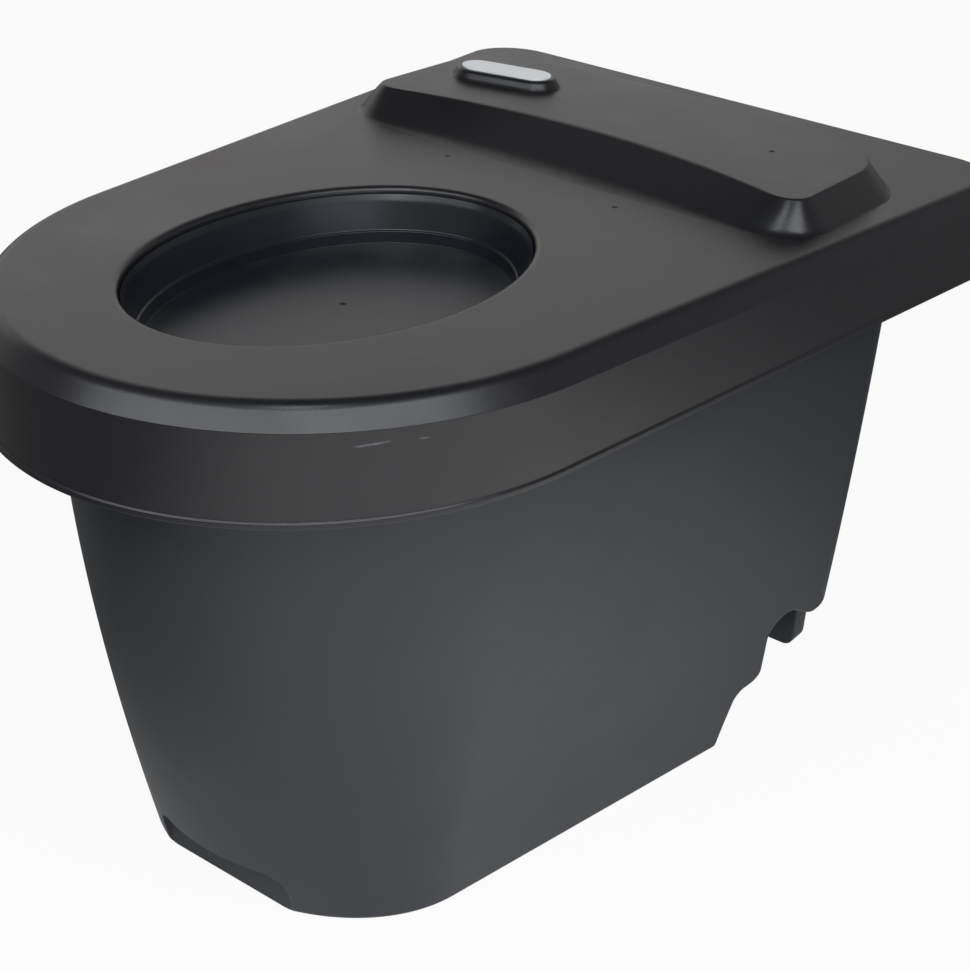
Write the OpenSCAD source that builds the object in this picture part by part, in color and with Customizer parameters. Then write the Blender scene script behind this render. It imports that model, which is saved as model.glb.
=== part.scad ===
// Composting toilet: a tapered tub under a skirted deck, with a lift-out plug in
// the seat opening and a lift-out collection bin on a drained false floor.
// Origin: on the floor, below the middle of the deck. +Z is up and the round
// nose points to -Y. All sizes are in millimetres.

/* [Deck] */
// Height of the deck's flat top above the floor
deck_h = 460; // [430:5:500]
// Length of the flat top, from the tip of the nose to the back edge
deck_l = 780; // [760:5:840]
// Width of the flat top where the round nose meets the sides
deck_front_w = 402; // [390:2:430]
// Width of the flat top at the back edge
deck_rear_w = 504; // [480:2:540]
// Length of the round nose, from its tip to its widest line
deck_nose = 246; // [236:2:270]
// Radius of the deck's back corners
deck_corner = 46; // [20:1:56]
// Depth of the skirt below the flat top
skirt_h = 75.5; // [70:0.5:84]
// Height of the sloping band round the top edge
bevel_h = 14; // [8:1:20]
// How far the sloping band stands out past the flat top
bevel_out = 10.5; // [8.5:0.5:14]
// Wall of the deck moulding
deck_wall = 6; // [4:0.5:7]

/* [Seat opening] */
// Width of the oval opening
open_w = 222; // [200:2:236]
// Length of the oval opening
open_l = 330; // [300:2:340]
// Distance from the nose's widest line forward to the middle of the opening
open_shift = 6; // [0:1:12]
// Radius worked round the opening's top edge
open_edge = 4; // [2:0.5:5]
// Wall of the collar that hangs round the opening
collar_wall = 5; // [4:0.5:6]
// Width of the seat-hinge pilot marks, centre to centre
hinge_pitch = 155; // [145:1:170]
// Distance of the pilot marks behind the middle of the opening
hinge_back = 221; // [212:1:228]
// Radius of a pilot mark
pilot_r = 1.5; // [1:0.25:2]
// Depth of a pilot mark
pilot_h = 3; // [2:0.5:3.5]

/* [Rear platform] */
// Height of the platform above the flat top
plat_h = 22; // [16:1:28]
// Length of the platform across the deck, at its foot
plat_w = 426; // [400:2:440]
// How far its end walls lean in from foot to top
plat_lean = 17; // [10:1:22]
// Distance from the middle of the opening to the straight foot of its front
plat_front = 251; // [242:1:262]
// Run of the front slope at the middle
plat_slope = 55; // [40:1:60]
// Depth of the platform's top, front to back
plat_depth = 146; // [130:1:150]
// How much the front edge of the top bends back at the middle
plat_front_bow = 46; // [20:1:50]
// How much the rear edge bends back at the middle
plat_rear_bow = 30; // [12:1:36]
// Run of the rear wall
plat_rear_run = 14; // [8:1:18]

/* [Badge] */
// Length of the blank badge plate
badge_l = 78; // [60:1:84]
// Width of the badge plate
badge_w = 30; // [20:1:34]
// Thickness of the badge plate
badge_t = 1.6; // [1:0.2:3]
// Distance of the badge from the middle line
badge_x = 127; // [115:1:132]
// Height of the raised pad that carries the badge
pad_h = 8; // [5:1:10]
// Margin of the pad's top round the badge
pad_rim = 3; // [2:0.5:6]
// How far the pad spreads from its top to its foot
pad_lean = 5; // [3:1:10]

/* [Plug] */
// Depth of the plug's rim below the flat top
plug_drop = 9; // [6:0.5:12]
// Depth of the plug's inner ledge below the flat top
plug_ledge = 31; // [28:0.5:34]
// Inset of the ledge's inner edge from the opening's wall
plug_inset = 11; // [10:0.5:13]
// Depth of the dish's floor below the flat top
plug_floor = 39; // [37:0.5:43]
// Wall of the plug
plug_wall = 4; // [3:0.25:4.5]
// Gap all round between the plug and the opening's wall
plug_gap = 1.2; // [0.8:0.1:1.8]
// Height of the plug's seal ring
plug_seal_h = 2; // [1.5:0.25:3]

/* [Tub] */
// Half width of the tub below the skirt, at the nose's widest line
tub_half_top = 164; // [158:1:170]
// Half width of the tub at the floor, at the nose's widest line
tub_half_base = 141; // [134:1:146]
// Widening of each side towards the back, below the skirt
tub_flare_top = 55; // [50:1:60]
// Widening of each side towards the back, at the floor
tub_flare_base = 72; // [66:1:74]
// Nose length of the tub below the skirt
tub_nose_top = 206; // [202:1:212]
// Nose length of the tub at the floor
tub_nose_base = 118; // [110:1:126]
// Distance of the rear wall's top in front of the deck's back edge
tub_back_gap = 91; // [84:1:98]
// How far the rear wall leans in from the skirt to the floor
tub_back_lean = 15; // [8:1:18]
// Radius of the tub's rear corners
tub_corner = 45; // [35:1:55]
// Height up to which the walls are tapered
tub_taper_h = 386; // [360:2:400]
// Wall of the tub moulding
tub_wall = 5; // [4:0.5:6]
// Thickness of the flange that carries the deck
flange_h = 8; // [6:0.5:10]
// Gap between the flange's edge and the deck
flange_gap = 1; // [1:0.5:4]
// Width of the finger recess low on the nose
grip_w = 122; // [100:2:130]
// Height of the finger recess
grip_h = 38; // [30:1:44]
// Depth of the finger recess behind the nose's tip at the floor
grip_d = 12; // [9:0.5:15]
// Length of the recess behind the base, up to the rear wall
recess_l = 168; // [158:1:176]
// Height of the low step behind the base
step_h = 48; // [46:1:54]
// Length of the low step, along the side of the tub
step_l = 45; // [40:1:50]
// Height of the rear recess's ceiling
well_h = 94; // [88:1:98]
// Height of the arch in that ceiling
arch_h = 107; // [102:1:112]

/* [False floor and bin] */
// Thickness of the drain grate
grate_t = 6; // [5:0.5:8]
// Radius of a drain hole
drain_hole_r = 6; // [4:0.5:7]
// Outer radius of a grate leg
leg_r = 16; // [12:1:18]
// Gap between the bin and the tub's wall
bin_gap = 10; // [8:0.5:12]
// Wall of the bin
bin_wall = 3.5; // [3:0.25:4.5]
// Height of the bin
bin_h = 282; // [250:2:284]
// Width of the bin's rolled rim
bin_lip = 5; // [3:0.5:5.5]
// Length of a hand slot in the bin
slot_l = 100; // [85:1:120]
// Height of a hand slot
slot_h = 32; // [26:1:36]

/* [Vent and air inlet] */
// Outer radius of the vent spigot
vent_r = 37.5; // [35:0.5:38]
// Wall of the vent spigot
vent_wall = 3; // [2.5:0.25:3.5]
// Height of the vent's axis above the floor
vent_z = 328; // [322:1:330]
// Radius of the vent's flange
vent_flange_r = 57; // [55:0.5:59]
// Width of the air inlet's cover
inlet_w = 112; // [100:1:120]
// Height of the air inlet's cover
inlet_h = 58; // [54:1:62]
// Height of the air inlet's middle above the floor
inlet_z = 200; // [190:1:208]

/* [Drain] */
// Height of the drain's axis above the floor
drain_z = 25; // [24.5:0.25:25.5]
// Outer radius of the drain's thread
drain_r = 12; // [11:0.25:12.5]
// Radius of the drain's bore
drain_bore_r = 7; // [6:0.25:8]
// Outer radius of the hose tail
tail_r = 10; // [9.5:0.25:10.5]
// Length of the hose tail
tail_l = 38; // [32:1:42]

/* [Hidden] */

// Resolution of the lofted outlines and of the round parts
nose_steps = 44;
corner_steps = 7;
oval_steps = 72;
round_fn = 64;
hull_fn = 32;
cut = 1; // overlap of a cutting shape past the face it cuts
fit_gap = 0.3; // clearance between fixed parts that slip together

// Places along Y
deck_back_y = deck_l / 2;
nose_y = deck_nose - deck_l / 2; // the nose's widest line
open_y = nose_y - open_shift; // the middle of the opening
tub_back_y = deck_back_y - tub_back_gap;
foot_y = tub_back_y - recess_l; // the rear end of the base

// Heights, from the deck down
plate_z = deck_h - deck_wall; // underside of the deck's flat top
seal_h = 4;
flange_z = plate_z - seal_h; // top of the tub's flange
plug_seat_z = deck_h - plug_ledge - plug_wall; // underside of the plug's ledge
collar_ledge_z = plug_seat_z - plug_seal_h; // top of the ledge inside the collar
collar_bottom_z = collar_ledge_z - collar_wall;
ledge_w = plug_inset - plug_wall - plug_gap; // how far the collar's ledge stands in

function mix(a, b, t) = a + (b - a) * t;

// Angle short of the nose's widest line at which a side leaves it without a
// kink: u and v are where the side ends, measured in half widths and noses
function touch_angle(u, v) = max(acos(1 / norm([u, v])) - atan2(v, u), 0);

// Outline of a nose, two flared sides and a back with round corners, walked
// anticlockwise; half_f and half_r are the half widths at the nose and the back
function outline(half_f, half_r, nose, back, corner) = concat(
    [for (i = [0:nose_steps])
        let (lift = touch_angle(half_r / half_f, (back - corner - nose_y) / nose))
        let (a = mix(180 + lift, 360 - lift, i / nose_steps))
        [half_f * cos(a), nose_y + nose * sin(a)]],
    [for (i = [0:corner_steps])
        let (a = 90 * i / corner_steps)
        [half_r - corner + corner * cos(a), back - corner + corner * sin(a)]],
    [for (i = [0:corner_steps])
        let (a = 90 + 90 * i / corner_steps)
        [corner - half_r + corner * cos(a), back - corner + corner * sin(a)]]);

// The deck's flat top, grown outwards by g
function deck_outline(g) = outline(deck_front_w / 2 + g, deck_rear_w / 2 + g,
    deck_nose + g, deck_back_y + g, max(deck_corner + g, 2));

// The tub's plan at height z, grown outwards by g: the walls curve in towards
// the floor, the nose faster than the sides
side_power = 2.18;
nose_power = 1.41;
function tub_drop(z) = min(max((tub_taper_h - z) / tub_taper_h, 0), 1);
function tub_back(z) = tub_back_y - tub_back_lean * pow(tub_drop(z), side_power);
function tub_outline(z, g, back_in = 0) =
    let (ts = pow(tub_drop(z), side_power), tn = pow(tub_drop(z), nose_power))
    let (half_f = mix(tub_half_top, tub_half_base, ts))
    let (flare = mix(tub_flare_top, tub_flare_base, ts))
    outline(half_f + g, half_f + flare + g, mix(tub_nose_top, tub_nose_base, tn) + g,
        tub_back(z) + g - back_in, max(tub_corner + g, 2));

// An oval round the opening, grown outwards by g
function oval(g) = [for (i = [0:oval_steps - 1])
    let (a = 360 * i / oval_steps)
    [(open_w / 2 + g) * cos(a), open_y + (open_l / 2 + g) * sin(a)]];

// A solid through rings of points, lowest first; each level is [height, points].
// A bent plan is closed by strips from front to rear: strips is the first and
// last front point to use and the sum of two facing point numbers
module loft(levels, strips = []) {
    n = len(levels[0][1]);
    last = len(levels) - 1;
    points = [for (level = levels) for (p = level[1]) [p[0], p[1], level[0]]];
    sides = [for (k = [0:last - 1]) for (i = [0:n - 1])
        let (j = (i + 1) % n)
        each [[k * n + i, (k + 1) * n + i, (k + 1) * n + j],
            [k * n + i, (k + 1) * n + j, k * n + j]]];
    floor_faces = len(strips) == 0
        ? [[for (i = [0:n - 1]) i]]
        : [for (i = [strips[0]:strips[1]])
            [for (k = [i, i + 1, strips[2] - i - 1, strips[2] - i]) (k + n) % n]];
    roof_faces = [for (face = floor_faces)
        [for (i = [len(face) - 1:-1:0]) last * n + face[i]]];
    polyhedron(points, concat(sides, floor_faces, roof_faces));
}

module oval_prism(g, z0, z1) {
    translate([0, 0, z0])
        linear_extrude(z1 - z0) polygon(oval(g));
}

// A ring between two ovals
module oval_ring(g_in, g_out, z0, z1) {
    difference() {
        oval_prism(g_out, z0, z1);
        oval_prism(g_in, z0 - cut, z1 + cut);
    }
}

// A cylinder along +Y that starts at y
module along_y(x, y, z, r, l, r2 = undef) {
    translate([x, y, z])
        rotate([-90, 0, 0])
        cylinder(h = l, r1 = r, r2 = is_undef(r2) ? r : r2, $fn = round_fn);
}

// ---- Deck ----

// The platform's plan, from its foot (t = 0) to its top (t = 1): a bent band
// with round corners, drawn in by g
plat_top_corner = 27; // the front corners, at the top
plat_foot_corner = 46; // and at the foot
plat_rear_corner = 54;
plat_edge_steps = 18;
plat_corner_steps = 6;
plat_front_y = open_y + plat_front;
function bow(x, b) = b * (1 - pow(2 * x / plat_w, 2));
function plat_front_edge(x, t) = plat_front_y
    + t * (plat_slope - plat_front_bow + bow(x, plat_front_bow));
function plat_rear_edge(x, t) = plat_front_y + plat_slope + plat_depth - plat_rear_bow
    + bow(x, plat_rear_bow) + (1 - t) * plat_rear_run;

// The same plan before it is bent: x, and -1 at the front edge to 1 at the rear;
// r holds the radius of the front corners and of the rear ones
function plat_flat(half, r, deep) = [for (side = [1, -1])
    let (ra = side == 1 ? r[0] : r[1], rb = side == 1 ? r[1] : r[0])
    each concat(
    [for (i = [0:plat_edge_steps])
        [side * (2 * i / plat_edge_steps - 1) * (half - ra), -side]],
    [for (i = [1:plat_corner_steps])
        let (a = 90 * i / plat_corner_steps - 90)
        [side * (half - ra + ra * cos(a)), side * (ra / deep * (1 + sin(a)) - 1)]],
    [for (i = [0:plat_corner_steps - 1])
        let (a = 90 * i / plat_corner_steps)
        [side * (half - rb + rb * cos(a)), side * (1 - rb / deep * (1 - sin(a)))]])];
function plat_outline(t, g) =
    let (half = plat_w / 2 - t * plat_lean - g)
    let (r = [mix(plat_foot_corner, plat_top_corner, t) - g / 2, plat_rear_corner - g / 2])
    let (deep = (plat_rear_edge(half, t) - plat_front_edge(half, t)) / 2 - g)
    [for (p = plat_flat(half, r, deep))
        [p[0], mix(plat_front_edge(p[0], t) + g, plat_rear_edge(p[0], t) - g, (p[1] + 1) / 2)]];

// Heights and lean of the platform's rings: a small fillet at the foot and a
// rounded top edge
plat_rings = [[-0.02, -0.05], [0.06, 0.05], [0.2, 0.18], [0.86, 0.9], [0.97, 0.98], [1, 1.06]];

module platform(g, base_z) {
    loft([for (ring = plat_rings)
        [base_z + plat_h * ring[0], plat_outline(ring[1], g)]],
        [-plat_corner_steps, plat_edge_steps + plat_corner_steps - 1,
            2 * (plat_edge_steps + plat_corner_steps) + 1]);
}

// The badge lies midway across the platform, along its front edge
badge_y = plat_front_y + plat_slope + plat_depth / 2
    - (plat_front_bow + plat_rear_bow) / 2 * pow(2 * badge_x / plat_w, 2);
badge_turn = atan(plat_front_bow * 8 * badge_x / pow(plat_w, 2));
badge_z = deck_h + plat_h + pad_h;

// A flat-topped solid with two round ends, from a spread foot to a narrow top
module stadium(l, w, h, spread) {
    hull()
        for (s = [-1, 1])
            translate([s * (l - w) / 2, 0, 0])
                cylinder(h = h, r1 = w / 2 + spread, r2 = w / 2, $fn = hull_fn);
}

module at_badge(z) {
    translate([-badge_x, badge_y, z])
        rotate([0, 0, badge_turn])
        children();
}

// The outside of the deck: the skirt, the sloping band and a rounded top edge
edge_r = 2.5;
module deck_shell() {
    loft([
        [deck_h - skirt_h, deck_outline(bevel_out - 1)],
        [deck_h - skirt_h + 1.5, deck_outline(bevel_out)],
        [deck_h - bevel_h - edge_r, deck_outline(bevel_out)],
        [deck_h - bevel_h, deck_outline(bevel_out - edge_r / 4)],
        [deck_h - edge_r, deck_outline(edge_r / 2)],
        [deck_h - edge_r / 4, deck_outline(-edge_r / 4)],
        [deck_h, deck_outline(-edge_r)]]);
}

// The hollow under the flat top, inside the skirt
module deck_hollow() {
    skirt_in = bevel_out - deck_wall;
    loft([
        [deck_h - skirt_h - cut, deck_outline(skirt_in)],
        [deck_h - bevel_h - deck_wall, deck_outline(skirt_in)],
        [plate_z, deck_outline(skirt_in - bevel_out / 2)]]);
}

screw_r = 2;
chute_hole_z = collar_ledge_z + 7;

module deck() {
    color("#55534f")
    difference() {
        union() {
            difference() {
                deck_shell();
                deck_hollow();
            }
            platform(0, deck_h);
            at_badge(deck_h + plat_h - 1)
                stadium(badge_l + 2 * pad_rim, badge_w + 2 * pad_rim, pad_h + 1, pad_lean);
            oval_prism(collar_wall, collar_bottom_z, plate_z + 1);
        }
        platform(deck_wall, plate_z - 1);
        oval_prism(0, collar_ledge_z, deck_h + cut);
        oval_prism(-ledge_w, collar_bottom_z - cut, deck_h);
        loft([[deck_h - open_edge, oval(0)], [deck_h - open_edge / 4, oval(open_edge / 3)],
            [deck_h + 0.1, oval(open_edge)]]);
        for (s = [-1, 1])
            translate([s * hinge_pitch / 2, open_y + hinge_back, deck_h - pilot_h])
                cylinder(h = pilot_h + cut, r = pilot_r, $fn = hull_fn);
        chute_screw_places() chute_pilot();
    }
}

module deck_seal() {
    seal_in = 18;
    seal_out = 6;
    color("#1c1c1e")
    translate([0, 0, flange_z])
        linear_extrude(seal_h)
        difference() {
            polygon(deck_outline(-seal_out));
            polygon(deck_outline(-seal_in));
        }
}

module badge_plate() {
    color("#e4e6e6")
    at_badge(badge_z)
        linear_extrude(badge_t)
        union() {
            square([badge_l - badge_w, badge_w], center = true);
            for (s = [-1, 1])
                translate([s * (badge_l - badge_w) / 2, 0])
                    circle(d = badge_w, $fn = round_fn);
        }
}

// ---- Plug ----

module opening_plug() {
    wall_in = -plug_gap - plug_wall; // inner face above the ledge
    low_out = plug_wall - plug_inset; // outer face below the ledge
    floor_r = plug_floor - plug_ledge;
    color("#4b4b4a")
    difference() {
        union() {
            oval_prism(-plug_gap, plug_seat_z, deck_h - plug_drop);
            loft([
                [deck_h - plug_floor - plug_wall, oval(low_out - floor_r)],
                [deck_h - plug_floor - plug_wall + floor_r / 4, oval(low_out - floor_r / 3)],
                [deck_h - plug_floor - plug_wall + floor_r / 2, oval(low_out)],
                [plug_seat_z + plug_wall / 2, oval(low_out)]]);
        }
        loft([
            [deck_h - plug_ledge, oval(wall_in - plug_wall / 4)],
            [deck_h - plug_ledge + plug_wall / 4, oval(wall_in)],
            [deck_h - plug_drop - plug_wall / 4, oval(wall_in)],
            [deck_h, oval(wall_in + plug_wall / 2)]]);
        loft([
            [deck_h - plug_floor, oval(-plug_inset - floor_r)],
            [deck_h - plug_floor + floor_r / 5, oval(-plug_inset - floor_r / 2)],
            [deck_h - plug_floor + floor_r / 2, oval(-plug_inset - floor_r / 6)],
            [deck_h - plug_ledge - 1, oval(-plug_inset)],
            [deck_h - plug_ledge + cut, oval(-plug_inset + 1)]]);
    }
}

module plug_seal() {
    color("#161618")
    oval_ring(-ledge_w + fit_gap, -plug_gap, collar_ledge_z, plug_seat_z);
}

// ---- Drop chute ----

chute_wall = 2.5;
chute_top_gap = 10; // between the sleeve and the deck's underside
chute_l = 60;
chute_top_z = plate_z - chute_top_gap;
chute_bottom_z = chute_top_z - chute_l;
chute_in = collar_wall + fit_gap;

// Four screws, one at each end of the oval's two axes
module chute_screw_places() {
    r_x = open_w / 2;
    r_y = open_l / 2;
    for (a = [0, 90, 180, 270])
        translate([r_x * cos(a), open_y + r_y * sin(a), chute_hole_z])
            rotate([0, 0, a])
            rotate([0, 90, 0])
            children();
}

screw_depth = 1; // skin left between the screw and the plug's side
module chute_pilot() {
    translate([0, 0, screw_depth])
        cylinder(h = collar_wall + chute_wall + 4, r = screw_r, $fn = round_fn);
}

module drop_chute() {
    color("#39393b")
    difference() {
        oval_ring(chute_in, chute_in + chute_wall, chute_bottom_z, chute_top_z);
        chute_screw_places() chute_pilot();
    }
}

module chute_screws() {
    head_r = 4;
    head_h = 2.2;
    color("#b9bcc0")
    chute_screw_places() {
        translate([0, 0, screw_depth])
            cylinder(h = chute_in + chute_wall - screw_depth + 0.5, r = screw_r, $fn = round_fn);
        translate([0, 0, chute_in + chute_wall + 0.1])
            cylinder(h = head_h, r = head_r, $fn = round_fn);
    }
}

// ---- Tub ----

// The rear recess seen from the side, grown by g: a leaning end to the base, a
// low step, then a higher ceiling with a shallow arch
foot_lean = 14;
well_y = foot_y + step_l;
arch_y = well_y + 27;
function recess_side(g) = [
    [foot_y - g, -cut],
    [foot_y + foot_lean - g, step_h - 6 + g],
    [foot_y + foot_lean + 7 - g, step_h - 1 + g],
    [well_y - g, step_h + 6 + g],
    [well_y - g, well_h + g],
    [well_y + 9 - g, arch_h - 4 + g],
    [arch_y - 4, arch_h + g],
    [arch_y + 4, arch_h + g],
    [arch_y + 21, well_h + 5 + g],
    [arch_y + 36, well_h - 2 + g],
    [arch_y + 49, well_h + g],
    [deck_back_y, well_h + g],
    [deck_back_y, -cut]];

// A solid with a side view, across the whole width
module across_x(points, w) {
    translate([-w / 2, 0, 0])
        rotate([90, 0, 90])
        linear_extrude(w) polygon(points);
}

// The finger recess's front view: an arch with rounded shoulders, grown by g
grip_back_y = nose_y - tub_nose_base + grip_d;
module grip_block(g) {
    shoulder = grip_h / 2;
    front_y = grip_back_y - grip_d * 5;
    hull()
        for (s = [-1, 1]) {
            along_y(s * (grip_w / 2 - shoulder), front_y, grip_h - shoulder,
                shoulder + g, grip_back_y + g - front_y);
            translate([s * (grip_w / 2 + g) - 0.5, front_y, -2 * cut])
                cube([1, grip_back_y + g - front_y, 1]);
        }
}

taper_steps = 9;
module tub_shell(g, z0, z1) {
    loft(concat(
        [for (i = [0:taper_steps - 1])
            let (z = mix(z0, tub_taper_h, i / taper_steps)) [z, tub_outline(z, g)]],
        [[tub_taper_h, tub_outline(tub_taper_h, g)], [z1, tub_outline(z1, g)]]));
}

// Flat pads that the rear fittings bolt to
vent_face_y = tub_back_y + 3;
inlet_face_y = tub_back_y + 1;
drain_face_y = foot_y + foot_lean;
drain_inner_y = foot_y - tub_wall - 2;
vent_inner_y = tub_back_y - tub_wall - 2;
pad_margin = 4;

module rear_pads() {
    inlet_inner_y = tub_back(inlet_z) - tub_wall - 1;
    along_y(0, vent_inner_y, vent_z, vent_flange_r + pad_margin, vent_face_y - vent_inner_y);
    along_y(0, drain_inner_y, drain_z, drain_z - 1, drain_face_y - drain_inner_y);
    translate([-inlet_w / 2 - pad_margin, inlet_inner_y, inlet_z - inlet_h / 2 - pad_margin])
        cube([inlet_w + 2 * pad_margin, inlet_face_y - inlet_inner_y, inlet_h + 2 * pad_margin]);
}

// The carrying rib across the rear recess
rib_t = 22;
rib_back = 19; // distance of the rib's rear face in front of the rear wall
rib_in = 21; // distance of its ends inside the tub's sides
rib_z = 38; // height of its lower edge
rib_y = tub_back_y - rib_back - rib_t;
rib_half = tub_half_base + tub_flare_base - rib_in;
module carrying_rib() {
    corner = 7;
    hull()
        for (s = [-1, 1]) {
            along_y(s * (rib_half - corner), rib_y, rib_z + corner, corner, rib_t);
            translate([s * (rib_half - corner) - corner, rib_y, well_h])
                cube([2 * corner, rib_t, tub_wall - 1]);
        }
}

// Gussets under the flange behind the rear wall
gusset_t = 8;
gusset_drop = 60;
gusset_in = 69; // distance of the outer gussets inside the tub's sides
gusset_half = tub_half_top + tub_flare_top - gusset_in;
module gussets() {
    for (s = [-1, -0.5, 0.5, 1])
        translate([s * gusset_half, 0, 0])
            across_x([[tub_back_y - 3, flange_z - gusset_drop], [tub_back_y - 3, flange_z - 2],
                [deck_back_y - 12, flange_z - 2], [deck_back_y - 12, flange_z - flange_h - 4]],
                gusset_t);
}

bolt_r = 2.5;
vent_pcd = vent_flange_r + vent_r + 1;
module vent_bolt_places() {
    for (a = [45, 135, 225, 315])
        translate([vent_pcd / 2 * cos(a), 0, vent_z + vent_pcd / 2 * sin(a)])
            children();
}

inlet_bolt_in = 7; // distance of a cover screw from the cover's edge
module inlet_bolt_places() {
    for (sx = [-1, 1], sz = [-1, 1])
        translate([sx * (inlet_w / 2 - inlet_bolt_in), 0, inlet_z + sz * (inlet_h / 2 - inlet_bolt_in)])
            children();
}

inlet_land_w = 14; // width of the inlet cover's edge beside the hole
inlet_land_h = 11; // and above and below it
inlet_hole_w = inlet_w - 2 * inlet_land_w;
inlet_hole_h = inlet_h - 2 * inlet_land_h;

module tub() {
    color("#3c3f43")
    difference() {
        union() {
            difference() {
                tub_shell(0, 0, flange_z);
                across_x(recess_side(0), deck_rear_w);
            }
            carrying_rib();
            translate([0, 0, flange_z - flange_h])
                linear_extrude(flange_h)
                polygon(deck_outline(bevel_out / 2 - deck_wall - flange_gap));
            gussets();
            rear_pads();
        }
        difference() {
            tub_shell(-tub_wall, tub_wall + 1, flange_z + cut);
            across_x(recess_side(tub_wall), deck_rear_w);
            grip_block(tub_wall);
            rear_pads();
        }
        grip_block(0);
        along_y(0, drain_inner_y - cut, drain_z, drain_r + fit_gap,
            drain_face_y - drain_inner_y + 2 * cut);
        along_y(0, vent_inner_y - cut, vent_z, vent_r + fit_gap,
            vent_face_y - vent_inner_y + 2 * cut);
        vent_bolt_places()
            along_y(0, vent_inner_y - cut, 0, bolt_r + fit_gap, vent_face_y - vent_inner_y + 2 * cut);
        inlet_opening(inlet_face_y + cut);
        inlet_bolt_places()
            along_y(0, inlet_face_y - inlet_screw_grip - 4 * cut, 0, bolt_r, inlet_screw_grip + 5 * cut);
    }
}

module inlet_opening(y1) {
    translate([-inlet_hole_w / 2, tub_back(0) - 20, inlet_z - inlet_hole_h / 2])
        cube([inlet_hole_w, y1 - tub_back(0) + 20, inlet_hole_h]);
}

// ---- False floor ----

grate_z = arch_h + tub_wall + fit_gap; // underside of the grate
grate_top_z = grate_z + grate_t;
floor_z = tub_wall + 1; // inner floor of the sump
foot_l = foot_y - nose_y;
// Each pair of legs: half its spread as a share of the tub's half width, and its place along Y
leg_pairs = [[0.44, nose_y - 0.517 * tub_nose_base], [0.837, nose_y + 0.3055 * foot_l],
    [0.95, nose_y + 0.851 * foot_l]];
hole_pitch = 0.3262 * tub_half_base; // across a row of drain holes

module drain_grate() {
    rows = 9;
    front_y = nose_y - 0.8644 * tub_nose_base;
    back_y = tub_back_y - 0.768 * recess_l;
    color("#2f3133")
    difference() {
        translate([0, 0, grate_z])
            linear_extrude(grate_t)
            polygon(tub_outline(grate_z, -tub_wall - 1.5));
        for (j = [0:rows - 1])
            let (y = mix(front_y, back_y, j / (rows - 1)))
            let (reach = (j == 0 ? 0.475 : 0.8) + 0.05 * j)
            for (i = [-3:3])
                let (x = (i + (j % 2) / 2 - 0.25) * hole_pitch)
                if (abs(x) < reach * tub_half_base)
                    translate([x, y, grate_z - cut])
                        cylinder(h = grate_t + 2 * cut, r = drain_hole_r, $fn = hull_fn);
    }
}

module grate_legs() {
    leg_wall = 2.5;
    color("#8d9092")
    for (p = leg_pairs, s = [-1, 1])
        translate([s * p[0] * tub_half_base, p[1], floor_z])
            difference() {
                cylinder(h = grate_z - floor_z, r = leg_r, $fn = round_fn);
                translate([0, 0, -cut])
                    cylinder(h = grate_z - floor_z + 2 * cut, r = leg_r - leg_wall, $fn = round_fn);
            }
}

// ---- Collection bin ----

bin_z = grate_top_z;
bin_top_z = bin_z + bin_h;
bin_back_in = 24; // extra room behind the bin for the vent and the air inlet
bin_in = tub_wall + bin_gap;
slot_drop = 46; // depth of the hand slots' middle below the bin's rim
slot_z = bin_top_z - slot_drop;
slot_y = mix(nose_y, tub_back_y, 0.3025);

bin_rim_h = 4;
bin_steps = 6;
function bin_outline(z, g) = tub_outline(z, g - bin_in, bin_back_in);

module collection_bin() {
    hole_r = 4;
    wall_top_z = bin_top_z - bin_rim_h;
    bin_floor_z = bin_z + bin_wall;
    hole_rows = 7;
    front_y = nose_y - 0.593 * tub_nose_base;
    back_y = tub_back_y - 0.696 * recess_l;
    color("#53565a")
    difference() {
        loft(concat(
            [for (i = [0:bin_steps - 1])
                let (z = mix(bin_z, wall_top_z, i / (bin_steps - 1))) [z, bin_outline(z, 0)]],
            [[wall_top_z + 1, bin_outline(bin_top_z, bin_lip)],
                [bin_top_z, bin_outline(bin_top_z, bin_lip)]]));
        loft([for (i = [0:bin_steps])
            let (z = mix(bin_floor_z, bin_top_z + cut, i / bin_steps))
            [z, bin_outline(z, -bin_wall)]]);
        for (s = [-1, 1])
            translate([s * tub_half_top, slot_y, slot_z])
                rotate([0, 90, 0])
                slot_bar();
        for (j = [0:hole_rows - 1])
            for (i = [-2:2])
                if (j > 0 || abs(i) < 2)
                    translate([(i + (j % 2) / 2 - 0.25) * hole_pitch,
                        mix(front_y, back_y, j / (hole_rows - 1)), bin_z - cut])
                        cylinder(h = bin_wall + 2 * cut, r = hole_r, $fn = hull_fn);
    }
}

// A bar with round ends, used to cut a hand slot
module slot_bar() {
    reach = 60;
    translate([0, 0, -reach / 2])
        linear_extrude(reach)
        union() {
            square([slot_h, slot_l - slot_h], center = true);
            for (s = [-1, 1])
                translate([0, s * (slot_l - slot_h) / 2])
                    circle(d = slot_h, $fn = round_fn);
        }
}

// ---- Drain ----

washer_t = 2;
drain_flange_r = 18;
drain_flange_t = 5;
nut_t = 8;

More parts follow.
